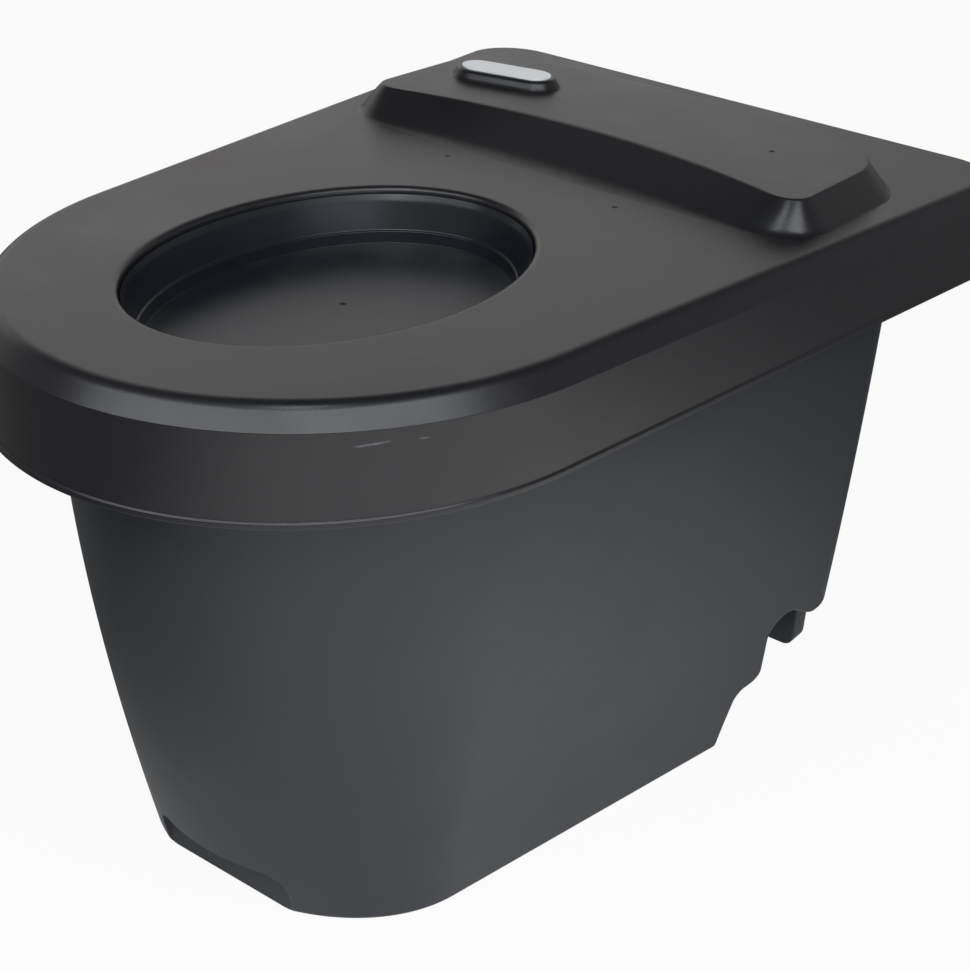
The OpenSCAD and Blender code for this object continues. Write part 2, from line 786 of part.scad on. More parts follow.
module drain_outlet() {
    thread_in = 22; // length of thread inside the tub
    barb = 1;
    flange_y = drain_face_y + washer_t;
    tail_y = flange_y + drain_flange_t;
    color("#2a2a2c")
    difference() {
        union() {
            along_y(0, drain_inner_y - thread_in, drain_z, drain_r, tail_y - drain_inner_y + thread_in);
            along_y(0, flange_y, drain_z, drain_flange_r, drain_flange_t);
            along_y(0, tail_y, drain_z, tail_r - barb, tail_l);
            along_y(0, tail_y, drain_z, tail_r, tail_l / 2);
            for (k = [0:2])
                along_y(0, tail_y + tail_l / 2 + k * tail_l / 6, drain_z, tail_r, tail_l / 6 - 1,
                    tail_r - barb);
        }
        along_y(0, drain_inner_y - thread_in - cut, drain_z, drain_bore_r,
            tail_y + tail_l - drain_inner_y + thread_in + 2 * cut);
    }
}

module drain_washer() {
    color("#111113")
    difference() {
        along_y(0, drain_face_y, drain_z, drain_flange_r - 1, washer_t);
        along_y(0, drain_face_y - cut, drain_z, drain_r + fit_gap, washer_t + 2 * cut);
    }
}

module drain_nut() {
    nut_flat = 16; // half the width across the flats
    color("#3a3a3d")
    difference() {
        translate([0, drain_inner_y - nut_t, drain_z])
            rotate([-90, 0, 0])
            rotate([0, 0, 30])
            cylinder(h = nut_t, r = nut_flat / cos(30), $fn = 6);
        along_y(0, drain_inner_y - nut_t - cut, drain_z, drain_r, nut_t + 2 * cut);
    }
}

module drain_strainer() {
    sleeve_l = 12;
    cup_l = 20;
    wall = 2;
    slits = 8;
    end_y = drain_inner_y - 22;
    color("#77797c")
    difference() {
        along_y(0, end_y - cup_l, drain_z, drain_r + wall, cup_l + sleeve_l);
        along_y(0, end_y, drain_z, drain_r, sleeve_l + cut);
        along_y(0, end_y - cup_l + wall, drain_z, drain_r - wall, cup_l);
        for (k = [0:slits / 2 - 1])
            translate([0, end_y - cup_l / 2, drain_z])
                rotate([0, k * 360 / slits, 0])
                cube([2, cup_l - 3 * wall, 4 * drain_r], center = true);
    }
}

// ---- Vent ----

vent_gasket_t = 3;
vent_flange_t = 4;
ring_t = 5;
vent_inner_l = 4; // how far the spigot reaches past the ring, inside

module vent_spigot() {
    y0 = vent_inner_y - ring_t - vent_inner_l;
    flange_y = vent_face_y + vent_gasket_t;
    color("#3f4144")
    difference() {
        union() {
            along_y(0, y0, vent_z, vent_r, deck_back_y - y0);
            along_y(0, flange_y, vent_z, vent_flange_r, vent_flange_t);
        }
        along_y(0, y0 + 2, vent_z, vent_r - vent_wall, deck_back_y - y0);
        along_y(0, y0 - cut, vent_z, vent_r - vent_wall - 3, 4 * cut);
        vent_bolt_places()
            along_y(0, flange_y - cut, 0, bolt_r + fit_gap, vent_flange_t + 2 * cut);
    }
}

module vent_washer_plate(y, t, r_in) {
    difference() {
        along_y(0, y, vent_z, vent_flange_r, t);
        along_y(0, y - cut, vent_z, r_in, t + 2 * cut);
        vent_bolt_places()
            along_y(0, y - cut, 0, bolt_r + fit_gap / 2, t + 2 * cut);
    }
}

module vent_gasket() {
    color("#121214")
    vent_washer_plate(vent_face_y, vent_gasket_t, vent_r + fit_gap);
}

module vent_backing_ring() {
    color("#5b5e62")
    vent_washer_plate(vent_inner_y - ring_t, ring_t, vent_r + fit_gap);
}

// Pan-head screws that point into the tub
module pan_screw(face_y, l, head_r, head_h) {
    along_y(0, face_y - l, 0, bolt_r - 0.1, l + 0.5);
    difference() {
        along_y(0, face_y, 0, head_r, head_h, head_r * 0.8);
        for (a = [0, 90])
            translate([0, face_y + head_h, 0])
                rotate([0, a, 0])
                cube([head_r, head_h, 1], center = true);
    }
}

module vent_screws() {
    face_y = vent_face_y + vent_gasket_t + vent_flange_t;
    head_r = 5;
    head_h = 3;
    past = 2; // length of each screw beyond the ring
    color("#c4c7ca")
    vent_bolt_places()
        pan_screw(face_y, face_y - vent_inner_y + ring_t + past, head_r, head_h);
}

// A square-mesh sheet of bars, cut to a shape
mesh_pitch = 6;
mesh_bar = 1;
module mesh_bars(w, h) {
    for (x = [-floor(w / 2 / mesh_pitch):floor(w / 2 / mesh_pitch)])
        translate([x * mesh_pitch, 0]) square([mesh_bar, h], center = true);
    for (y = [-floor(h / 2 / mesh_pitch):floor(h / 2 / mesh_pitch)])
        translate([0, y * mesh_pitch]) square([w, mesh_bar], center = true);
}

mesh_t = 0.8;
module vent_mesh() {
    rim = 3;
    r = vent_r - vent_wall - 0.1;
    color("#a9adb0")
    translate([0, vent_inner_y - ring_t - vent_inner_l + 2, vent_z])
        rotate([-90, 0, 0])
        linear_extrude(mesh_t) {
            difference() {
                circle(r = r, $fn = round_fn);
                circle(r = r - rim, $fn = round_fn);
            }
            intersection() {
                mesh_bars(2 * r, 2 * r);
                circle(r = r - rim / 2, $fn = round_fn);
            }
        }
}

// ---- Air inlet ----

inlet_gasket_t = 2;
inlet_cover_t = 4;
inlet_screw_grip = 10; // length of a cover screw inside the pad
inlet_head_r = 4.5;
inlet_head_h = 2.8;

module inlet_cover() {
    louvres = 5;
    y = inlet_face_y + inlet_gasket_t;
    color("#3f4144")
    difference() {
        union() {
            translate([-inlet_w / 2, y, inlet_z - inlet_h / 2])
                cube([inlet_w, inlet_cover_t, inlet_h]);
            for (k = [0:louvres - 1])
                louvre(k, louvres, y + inlet_cover_t - 1);
        }
        for (k = [0:louvres - 1])
            translate([-inlet_hole_w / 2 + 3, y - cut, louvre_z(k, louvres) - 2.6])
                cube([inlet_hole_w - 6, inlet_cover_t + 2 * cut, 3.2]);
        inlet_bolt_places()
            along_y(0, y - cut, 0, bolt_r + fit_gap / 2, inlet_cover_t + 2 * cut);
    }
}

function louvre_z(k, count) = inlet_z + (k - (count - 1) / 2) * inlet_hole_h / count;

// A hood over one slot, open below
module louvre(k, count, y) {
    z = louvre_z(k, count);
    across = inlet_hole_w - 2;
    translate([-across / 2, 0, 0])
        rotate([90, 0, 90])
        linear_extrude(across)
        polygon([[y, z + 3.4], [y, z + 0.8], [y + 4, z - 2.4], [y + 5.4, z - 2.4]]);
}

module inlet_plate(y, t, hole_r) {
    difference() {
        translate([-inlet_w / 2, y, inlet_z - inlet_h / 2])
            cube([inlet_w, t, inlet_h]);
        translate([-inlet_hole_w / 2, y - cut, inlet_z - inlet_hole_h / 2])
            cube([inlet_hole_w, t + 2 * cut, inlet_hole_h]);
        inlet_bolt_places()
            along_y(0, y - cut, 0, hole_r, t + 2 * cut);
    }
}

module inlet_gasket() {
    color("#121214")
    inlet_plate(inlet_face_y, inlet_gasket_t, bolt_r + fit_gap / 2);
}

module inlet_mesh() {
    rim = 2.5;
    w = inlet_hole_w - 0.4;
    h = inlet_hole_h - 0.4;
    color("#a9adb0")
    translate([0, inlet_face_y + inlet_gasket_t, inlet_z])
        rotate([90, 0, 0])
        linear_extrude(mesh_t) {
            difference() {
                square([w, h], center = true);
                square([w - 2 * rim, h - 2 * rim], center = true);
            }
            mesh_bars(w - rim, h - rim);
        }
}

module inlet_screws() {
    face_y = inlet_face_y + inlet_gasket_t + inlet_cover_t;
    color("#c4c7ca")
    inlet_bolt_places()
        pan_screw(face_y, inlet_gasket_t + inlet_cover_t + inlet_screw_grip, inlet_head_r,
            inlet_head_h);
}

tub();
deck();
deck_seal();
opening_plug();
plug_seal();
badge_plate();
drop_chute();
chute_screws();
collection_bin();
drain_grate();
grate_legs();
drain_outlet();
drain_washer();
drain_nut();
drain_strainer();
vent_spigot();
vent_gasket();
vent_backing_ring();
vent_screws();
vent_mesh();
inlet_cover();
inlet_gasket();
inlet_mesh();
inlet_screws();
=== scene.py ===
import bmesh
import bpy
import math
import numpy as np
from mathutils import Matrix, Vector


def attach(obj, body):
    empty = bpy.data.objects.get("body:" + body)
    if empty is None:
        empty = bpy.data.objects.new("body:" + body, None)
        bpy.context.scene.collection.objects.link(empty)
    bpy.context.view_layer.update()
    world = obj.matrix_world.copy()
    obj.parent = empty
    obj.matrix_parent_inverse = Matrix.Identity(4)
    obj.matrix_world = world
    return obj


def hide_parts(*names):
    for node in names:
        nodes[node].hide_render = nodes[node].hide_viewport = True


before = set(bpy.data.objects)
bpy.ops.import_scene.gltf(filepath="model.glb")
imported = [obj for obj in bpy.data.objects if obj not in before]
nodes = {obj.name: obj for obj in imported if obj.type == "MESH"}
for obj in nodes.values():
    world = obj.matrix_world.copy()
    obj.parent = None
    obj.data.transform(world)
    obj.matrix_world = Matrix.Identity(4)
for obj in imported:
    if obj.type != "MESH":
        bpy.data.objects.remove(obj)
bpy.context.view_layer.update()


def addObject(name, data):
    # a new object at the origin, in the scene
    made = bpy.data.objects.new(name, data)
    bpy.context.scene.collection.objects.link(made)
    return made


view = {
    # the eye is to the front right and above, rolled a little: metres, then degrees, then millimetres
    "place": (0.7257, -1.0239, 0.9016), "lookAt": (0.1448, -0.1692, 0.3498), "roll": 4.379,
    "lens": 67.68, "film": 36.0,
}


def makeCamera(v):
    # back runs from the target to the eye, right is the world's up crossed with back, up is back crossed with
    # right, and the roll then turns right and up about back
    data = bpy.data.cameras.new("camera")
    data.lens, data.sensor_width = v["lens"], v["film"]
    camera = addObject("camera", data)
    back = (Vector(v["place"]) - Vector(v["lookAt"])).normalized()
    right = Vector((0, 0, 1)).cross(back).normalized()
    up = back.cross(right)
    turn = Matrix((right, up, back)).transposed() @ Matrix.Rotation(math.radians(v["roll"]), 3, "Z")
    camera.matrix_world = Matrix.Translation(v["place"]) @ turn.to_4x4()
    bpy.context.scene.camera = camera


makeCamera(view)
print("camera placed")


class Value:
    # one output of a shader tree; sums on it add their Math nodes
    def __init__(self, paint, socket):
        self.paint, self.socket = paint, socket

    def calc(self, operation, a, b, clamp=False):
        return self.paint.node("ShaderNodeMath", {"operation": operation, "use_clamp": clamp}, {0: a, 1: b})

    def __add__(self, other):
        return self.calc("ADD", self, other)

    def __sub__(self, other):
        return self.calc("SUBTRACT", self, other)

    def __rsub__(self, other):
        return self.calc("SUBTRACT", other, self)

    def __mul__(self, other):
        return self.calc("MULTIPLY", self, other)

    def held(self):  # kept between 0 and 1
        return self.calc("ADD", self, 0.0, True)

    def step(self, low, high):  # 0 below low, 1 above high, smooth between
        return self.paint.node("ShaderNodeMapRange", {"interpolation_type": "SMOOTHSTEP"},
                               {"Value": self, "From Min": low, "From Max": high})

    __radd__ = __add__
    __rmul__ = __mul__


shaderSockets = {"color": "Base Color", "rough": "Roughness", "metal": "Metallic", "normal": "Normal",
                 "coat": "Coat Weight", "specular": "Specular IOR Level"}


class Paint:
    # the nodes of a material or of the world, under construction
    def __init__(self, owner):
        owner.use_nodes = True
        self.owner, self.tree = owner, owner.node_tree

    def plug(self, socket, value):  # a link, or a fixed value
        if isinstance(value, Value):
            self.tree.links.new(value.socket, socket)
        else:
            socket.default_value = value

    def node(self, kind, settings=None, inputs=None, output=0):
        # any node: its settings first, then the values or links of its sockets
        made = self.tree.nodes.new(kind)
        for key, value in (settings or {}).items():
            setattr(made, key, value)
        for key, value in (inputs or {}).items():
            self.plug(made.inputs[key], value)
        return Value(self, made.outputs[output])

    def vector(self, operation, a, b):
        # Vector Math; a distance and a dot product are numbers and leave by the second socket
        output = 1 if operation in ("DISTANCE", "DOT_PRODUCT") else 0
        return self.node("ShaderNodeVectorMath", {"operation": operation}, {0: a, 1: b}, output)

    def place(self):  # Object coordinates, in metres
        return self.node("ShaderNodeTexCoord", output="Object")

    def parts(self, vector):  # a vector's x, y and z
        split = self.node("ShaderNodeSeparateXYZ", inputs={0: vector})
        return [Value(self, socket) for socket in split.socket.node.outputs]

    def noise(self, scale, detail=2.0, rough=0.5, place=None):
        return self.node("ShaderNodeTexNoise", inputs={"Vector": place or self.place(), "Scale": scale,
                                                       "Detail": detail, "Roughness": rough})

    def blend(self, factor, a, b, kind="MIX"):  # two colours
        return self.node("ShaderNodeMix", {"data_type": "RGBA", "blend_type": kind}, {0: factor, 6: a, 7: b}, 2)

    def bump(self, height, strength, distance, under=None):
        inputs = {"Height": height, "Strength": strength, "Distance": distance}
        if under is not None:
            inputs["Normal"] = under
        return self.node("ShaderNodeBump", inputs=inputs)

    def rays(self):
        # 1 for the eye's rays and those through clear pieces, and 1 for mirror reflections
        path = self.tree.nodes.new("ShaderNodeLightPath")
        eye, clear, mirror = [Value(self, path.outputs[f"Is {kind} Ray"])
                              for kind in ("Camera", "Transmission", "Glossy")]
        return (eye + clear).held(), mirror

    def finish(self, **inputs):
        for key, value in inputs.items():
            self.plug(self.tree.nodes["Principled BSDF"].inputs[shaderSockets[key]], value)
        return self.owner


def newPaint(name):
    return Paint(bpy.data.materials.new(name))


def linear(red, green, blue):
    # screen values from 0 to 255 as light: c / 12.92 for a dark c, ((c + 0.055) / 1.055) to the power 2.4 above
    def one(c):
        c = c / 255
        return c / 12.92 if c <= 0.04045 else ((c + 0.055) / 1.055) ** 2.4
    return (one(red), one(green), one(blue), 1.0)


plastic = {
    # painted shade of the blind pilot holes, which the mesh doesn't cut, as near black spots: middle, radius;
    # scratches: one end, the other, half width; all in metres
    "deck": {"color": (27, 27, 30), "dust": (62, 58, 56), "rough": 0.31, "grain": 0.05,
             "marks": [((0.0760, 0.0721, 0.460), 0.0017), ((-0.0790, 0.0745, 0.460), 0.0015),
                       ((0.1241, 0.2170, 0.482), 0.0018)],
             "scratches": [((0.1547, -0.3189, 0.4361), (0.1685, -0.2989, 0.4381), 0.0011),
                           ((0.1765, -0.2853, 0.4371), (0.1798, -0.2790, 0.4371), 0.0008),
                           ((0.1657, -0.3034, 0.4053), (0.1676, -0.3004, 0.4044), 0.0006),
                           ((0.0824, -0.3599, 0.4530), (0.0875, -0.3557, 0.4530), 0.0009),
                           ((0.2043, -0.2187, 0.3910), (0.2102, -0.2062, 0.3910), 0.0009)]},
    # the plug's colour is its own dark grey with more blue than the deck's; that extra blue is painted cool shade of
    # the opening it sits in
    "plug": {"color": (22, 25, 32), "dust": (57, 57, 56), "rough": 0.31, "grain": 0.05,
             "marks": [((-0.005, -0.1363, 0.421), 0.0018)]},
    "tub": {"color": (32, 37, 44), "dust": (43, 46, 50), "rough": 0.42, "grain": 0.08},
    "bin": {"color": (62, 65, 70), "dust": (90, 90, 90), "rough": 0.42, "grain": 0.08},
    "black": {"color": (30, 31, 33), "dust": (60, 60, 60), "rough": 0.40, "grain": 0.06},
    "grey": {"color": (128, 131, 133), "dust": (150, 150, 148), "rough": 0.45, "grain": 0.06},
}
# the finish's wear and grain, and the painted shade of the blind pilot holes
wearAndShade = {
    # noises: scale, detail, roughness
    "cloud": (7.0, 4.0, 0.6), "speck": (170.0, 3.0, 0.6), "scratch": (420.0, 2.0, 0.5),
    "grain": (620.0, 2.0, 0.5), "wave": (28.0, 1.0, 0.5),
    "grainDeep": 0.0005, "waveDeep": 0.004, "waveStrength": 0.06,
    "faceUp": (0.93, 1.0), "dustCloud": (0.35, 0.75), "dustShare": 0.8, "dustSpeck": 0.05,
    "mottleCloud": 0.7, "mottleSpeck": 0.3, "mottle": ((0.80, 0.80, 0.80, 1), (1.16, 1.16, 1.16, 1)),
    "roughCloud": 0.24, "roughSpeck": 0.04, "roughDust": 0.07, "roughPilot": 0.4,
    # the blind pilot holes' painted shade: its near black colour, and how far out it fades
    "pilotShadeColor": (0.003, 0.003, 0.003, 1), "pilotShadeFade": 1.5,
    "scratchColor": linear(140, 140, 140), "scratchShare": 0.75, "scratchCore": 0.2,
}


def nearPoint(paint, place, point, radius):
    # 1 within radius of a point, fading out over half as much again
    return 1 - paint.vector("DISTANCE", place, point).step(radius, radius * wearAndShade["pilotShadeFade"])


def scratchLine(paint, place, a, b, width):
    # run is how far along the scratch its nearest point lies, from 0 at a to 1 at b; the mask fades out at width
    # from that point, is strongest half way along, where 4 run (1 - run) is 1, and is broken up by a noise
    along = paint.vector("SUBTRACT", place, a)
    step = Vector(b) - Vector(a)
    run = paint.vector("DOT_PRODUCT", along, tuple(step / step.length_squared)).held()
    foot = paint.node("ShaderNodeVectorMath", {"operation": "SCALE"}, {0: tuple(step), "Scale": run})
    core = 1 - paint.vector("DISTANCE", along, foot).step(width * wearAndShade["scratchCore"], width)
    return core * (run * (1 - run) * 4.0).held() * paint.noise(*wearAndShade["scratch"], place)


def plasticFinish(name, p):
    # colour: the plastic's own, turning to dust where a face looks up and the cloud is thick, times a mottle of
    # cloud and speck; roughness: the plastic's own plus shares of cloud, speck and dust; a fine moulded grain
    # lies over slow waves, and the painted shade of the blind pilot holes and pale scratches come last
    paint = newPaint(name)
    at = paint.place()
    cloud, speck = paint.noise(*wearAndShade["cloud"], at), paint.noise(*wearAndShade["speck"], at)
    faceUp = paint.parts(paint.node("ShaderNodeNewGeometry", output="Normal"))[2].step(*wearAndShade["faceUp"])
    dusty = faceUp * cloud.step(*wearAndShade["dustCloud"]) * wearAndShade["dustShare"] + (speck - 0.5) * wearAndShade["dustSpeck"]
    tone = paint.blend(dusty.held(), linear(*p["color"]), linear(*p["dust"]))
    mottle = (cloud * wearAndShade["mottleCloud"] + speck * wearAndShade["mottleSpeck"]).held()
    tone = paint.blend(1.0, tone, paint.blend(mottle, *wearAndShade["mottle"]), "MULTIPLY")
    rough = (cloud - 0.5) * wearAndShade["roughCloud"] + (speck - 0.5) * wearAndShade["roughSpeck"]
    rough = rough + faceUp * wearAndShade["roughDust"] + p["rough"]
    # painted shade: each blind pilot hole is a spot darkened to near black, and made rougher
    for point, radius in p.get("marks", ()):
        spot = nearPoint(paint, at, point, radius)
        tone = paint.blend(spot, tone, wearAndShade["pilotShadeColor"])
        rough = rough + spot * wearAndShade["roughPilot"]
    for scratch in p.get("scratches", ()):
        tone = paint.blend(scratchLine(paint, at, *scratch) * wearAndShade["scratchShare"], tone, wearAndShade["scratchColor"])
    fine = paint.bump(paint.noise(*wearAndShade["grain"], at), p["grain"], wearAndShade["grainDeep"])
    waves = paint.bump(paint.noise(*wearAndShade["wave"], at), wearAndShade["waveStrength"], wearAndShade["waveDeep"], fine)
    return paint.finish(color=tone, rough=rough, normal=waves)


rubber = {"speck": (300.0, 3.0, 0.6), "dark": (20, 20, 21), "pale": (36, 36, 37), "rough": 0.65, "roughSpeck": 0.2,
          "bump": (0.2, 0.0004)}


def rubberFinish():
    # two near blacks in fine specks, which also make it rougher and stand proud
    paint = newPaint("sealRubber")
    speck = paint.noise(*rubber["speck"])
    return paint.finish(color=paint.blend(speck, linear(*rubber["dark"]), linear(*rubber["pale"])),
                        rough=speck * rubber["roughSpeck"] + rubber["rough"],
                        normal=paint.bump(speck, *rubber["bump"]))


steel = {"screw": (0.72, 0.73, 0.75, 1), "mesh": (0.55, 0.56, 0.57, 1), "dark": 0.8, "streak": (900, 900, 60),
         "rough": 0.22, "roughStreak": 0.2}


def steelFinish(name, tint):
    # fine streaks, from a noise that is squeezed across and left long along Z
    paint = newPaint(name)
    streak = paint.noise(1.0, place=paint.vector("MULTIPLY", paint.place(), steel["streak"]))
    tone = paint.blend(streak, tuple(c * steel["dark"] for c in tint[:3]) + (1,), tint)
    return paint.finish(color=tone, metal=1.0, rough=streak * steel["roughStreak"] + steel["rough"])


badgePlastic = {"cloud": (40.0, 3.0), "dark": (206, 208, 209), "pale": (226, 227, 227), "rough": 0.24,
                "roughCloud": 0.12, "bump": (0.05, 0.0004), "coat": 0.3}


def badgeFinish():
    # two off-whites in soft clouds, under a thin clear coat
    b = badgePlastic
    paint = newPaint("badgeWhite")
    cloud = paint.noise(*b["cloud"])
    return paint.finish(color=paint.blend(cloud, linear(*b["dark"]), linear(*b["pale"])), coat=b["coat"],
                        rough=cloud * b["roughCloud"] + b["rough"], normal=paint.bump(cloud, *b["bump"]))


finishes = {name: plasticFinish(name + "Plastic", p) for name, p in plastic.items()}
finishes["rubber"] = rubberFinish()
for name in ("screw", "mesh"):
    finishes[name] = steelFinish(name + "Steel", steel[name])
finishes["badge"] = badgeFinish()
print("finishes made", len(finishes))


def weld(mesh, near=0.00002, thin=0.00001):
    # points nearer than near become one, faces and edges thinner than thin go, in metres, and faces turn outwards
    shell = bmesh.new()
    shell.from_mesh(mesh)
    bmesh.ops.remove_doubles(shell, verts=shell.verts, dist=near)
    bmesh.ops.dissolve_degenerate(shell, dist=thin, edges=shell.edges)
    bmesh.ops.recalc_face_normals(shell, faces=shell.faces)
    shell.to_mesh(mesh)
    shell.free()


def gridMesh(name, grids):
    # each grid is points in millimetres and whether its last row joins its first; four neighbours make a face
    verts, faces, start = [], [], 0
    for points, joined in grids:
        rows, cols = points.shape[:2]
        index = np.arange(rows * cols).reshape(rows, cols) + start
        if joined:
            index = np.vstack([index, index[:1]])
        quads = np.stack([index[:-1, :-1], index[1:, :-1], index[1:, 1:], index[:-1, 1:]], -1).reshape(-1, 4)
        verts.append(points.reshape(-1, 3) * 0.001)  # to metres
        faces.append(quads)
        start += rows * cols
    mesh = bpy.data.meshes.new(name)
    mesh.from_pydata(np.vstack(verts), [], np.vstack(faces).tolist())
    weld(mesh)
    return mesh


def makePiece(name, grids, body, finish, slot, stands, crease=38):
    # stands are the CAD nodes that the piece replaces; edges sharper than crease degrees stay sharp
    mesh = gridMesh(name, grids)
    mesh.shade_smooth()
    mesh.set_sharp_from_angle(angle=math.radians(crease))
    mesh.materials.append(finish)
    piece = addObject(name, mesh)
    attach(piece, body)
    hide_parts(*stands)
    print("piece", name, len(mesh.polygons), "faces")
    return piece


def pointsOf(x, y, z):
    # three arrays spread to one shape and joined as points
    return np.stack(np.broadcast_arrays(x, y, z), -1)


def quarter(steps):
    # the angles of a quarter turn, in even steps
    return np.linspace(0, np.pi / 2, steps + 1)


def softLine(points, steps=5, hold=0.35):
    # a line of (across, up, r) corners; each is rounded by a curve (1-t)^2 a + 2t(1-t) corner + t^2 b, where a and
    # b are r away along its sides, and a point hold further out on each side keeps the flats flat when shaded
    p = np.array([q[:2] for q in points], float)
    line = [p[0]]
    for k in range(1, len(p) - 1):
        r = points[k][2]
        if r <= 0:
            line.append(p[k])
            continue
        a, b = p[k - 1] - p[k], p[k + 1] - p[k]
        longA, longB = np.linalg.norm(a), np.linalg.norm(b)
        shareA, shareB = min(r / longA, 0.5), min(r / longB, 0.5)
        t = np.linspace(0, 1, steps + 1)[:, None]
        curve = (1 - t) ** 2 * (p[k] + a * shareA) + 2 * t * (1 - t) * p[k] + t ** 2 * (p[k] + b * shareB)
        if longA * (0.5 - shareA) > hold:
            line.append(p[k] + a * (shareA + hold / longA))
        line += list(curve)
        if longB * (0.5 - shareB) > hold:
            line.append(p[k] + b * (shareB + hold / longB))
    return np.array(line + [p[-1]])


def bothSides(points):
    # the right half of a surface and its mirror image, as one grid round the back
    left = points[:, ::-1] * np.array([-1.0, 1.0, 1.0])
    return np.concatenate([points, left], axis=1)


def closed(grid):
    # the first column again at the end, so that the surface meets itself
    return np.concatenate([grid, grid[:, :1]], 1)


# plan shapes are half outlines, from the nose's tip round to the middle of the back, in millimetres
noseY = -144.0  # the nose's widest line
leastCorner = 2.0
noseCol, sideCol, stationCol, tailCol, cornerCol, backCol = range(6)


def columnsFor(nose, side, corner, back, stations=(), tail=0):
    # each column's kind and its place in that kind: shares of the nose's angle, shares of the side up to the first
    # station, the stations' own y, shares of the side after them, degrees round the corner, shares of the back
    def shares(count, last=1):
        return np.linspace(0, last, count + 1)[1:]
    places = [np.asarray(nose, float), shares(side), np.asarray(stations, float), shares(tail), shares(corner, 90),
              shares(back)]
    kind = np.concatenate([np.full(len(v), k) for k, v in enumerate(places)])
    return kind, np.concatenate(places)


def planGrid(cols, halfFront, halfRear, nose, back, corner, firstY=None, lastY=None):
    # an ellipse from the tip to where the straight side touches it, the side, a round corner, the straight back;
    # a line from (halfRear, endY) touches the ellipse at the angle t where u cos t + v sin t = 1
    kind, value = cols
    endY = back - corner
    u, v = halfRear / halfFront, (endY - noseY) / nose
    lift = np.maximum(np.arccos(1 / np.hypot(u, v)) - np.arctan2(v, u), 0)
    touchX, touchY = halfFront * np.cos(lift), noseY - nose * np.sin(lift)
    angle = -math.pi / 2 + value * (math.pi / 2 - lift)
    first = endY if firstY is None else firstY
    last = endY if lastY is None else lastY
    sideY = np.select([kind == sideCol, kind == stationCol],
                      [touchY + (first - touchY) * value, value + 0 * endY], last + (endY - last) * value)
    sideX = touchX + (halfRear - touchX) * (sideY - touchY) / (endY - touchY)
    turn = np.radians(value)
    where = [kind == noseCol, kind < cornerCol, kind == cornerCol]
    x = np.select(where, [halfFront * np.cos(angle), sideX, halfRear - corner + corner * np.cos(turn)],
                  (halfRear - corner) * (1 - value))
    y = np.select(where, [noseY + nose * np.sin(angle), sideY, endY + corner * np.sin(turn)], back + 0 * value)
    return x, y


flange = {"halfFront": 201.0, "halfRear": 252.0, "nose": 246.0, "back": 390.0, "corner": 46.0}


def flangeDims(grow):
    # the plan of the deck's flat top, grown outwards, as planGrid takes it
    grow = np.asarray(grow, float).reshape(-1, 1)
    f = flange
    return (f["halfFront"] + grow, f["halfRear"] + grow, f["nose"] + grow, f["back"] + grow,
            np.maximum(f["corner"] + grow, leastCorner))


tub = {
    "rim": 450.0, "flange": 8.0, "wall": 5.0, "taper": 386.0, "corner": 45.0,
    # each at the taper's top and at the floor: half width in front, how much wider it is behind, nose, back
    "half": (164.0, 141.0), "flare": (55.0, 72.0), "nose": (206.0, 118.0), "back": (299.0, 284.0),
    "sidePower": 2.18, "nosePower": 1.41,  # how late the taper sets in
    # the lower edge at the rear: y, height, rounding
    "recess": [(125, 0, 0), (131, 0, 1.5), (136, 17, 6), (145, 42, 4), (153, 48, 4), (168, 50, 4), (175.6, 55, 3),
               (176.4, 92, 4), (186, 103, 6), (200, 107, 6), (210, 106, 6), (224, 98, 8), (238, 92, 6),
               (247, 94, 0)],
    # the finger recess low on the nose: half width, height, shoulders, y of its wall, width of its soft edge
    "gripHalf": 61.0, "gripHeight": 38.0, "gripRound": 19.0, "gripBack": -250.0, "gripSoft": 2.4,
    "edge": 3.0, "lip": 1.5, "fillet": 9.0,  # roundings of the lower edge, of the flange and inside at the floor
    "floorUp": 1.0, "neck": 2.0,  # extra height of the inner floor, how far the wall spreads under the flange
    "flangeIn": -14.0, "flangeOut": -1.75,  # the flange's reach, from the outline of the deck's flat top
    # rows and columns; splits are where fine ones, round the finger recess, meet coarse ones
    "noseCols": (56, 26), "noseSplit": 0.36, "cols": {"side": 18, "corner": 12, "back": 14}, "tailCols": 3,
    "floor": [0.0, 0.35, 0.7, 1.0], "insideRows": 26, "insidePower": 1.6, "outsideRows": (26, 40),
    "outsideSplit": 0.13,
}


def tubDims(z, grow):
    # the tub's plan at heights z, grown outwards, as planGrid takes it; each size goes from its upper to its lower
    # value with the depth below the taper's top, as a share raised to a power
    drop = np.clip((tub["taper"] - z) / tub["taper"], 0, 1)
    side, tip = drop ** tub["sidePower"], drop ** tub["nosePower"]

    def between(pair, share):
        return pair[0] + (pair[1] - pair[0]) * share
    half = between(tub["half"], side) + grow
    return (half, half + between(tub["flare"], side), between(tub["nose"], tip) + grow,
            between(tub["back"], side) + grow, np.maximum(tub["corner"] + grow, leastCorner) + 0 * z)


def gripDepth(x, y, z, grow=0.0):
    # pushes the nose back to a flat wall inside an arch, whose distance is that of a box with round shoulders
    t = tub
    backY = t["gripBack"] + grow
    qx = np.abs(x) - t["gripHalf"] - grow + t["gripRound"]
    qz = z - t["gripHeight"] - grow + t["gripRound"]
    away = np.hypot(np.maximum(qx, 0), np.maximum(qz, 0)) + np.minimum(np.maximum(qx, qz), 0) - t["gripRound"]
    share = np.clip(0.5 - away / t["gripSoft"], 0, 1)
    share = share * share * (3 - 2 * share)
    return np.where(y < backY, y + (backY - y) * share, y)


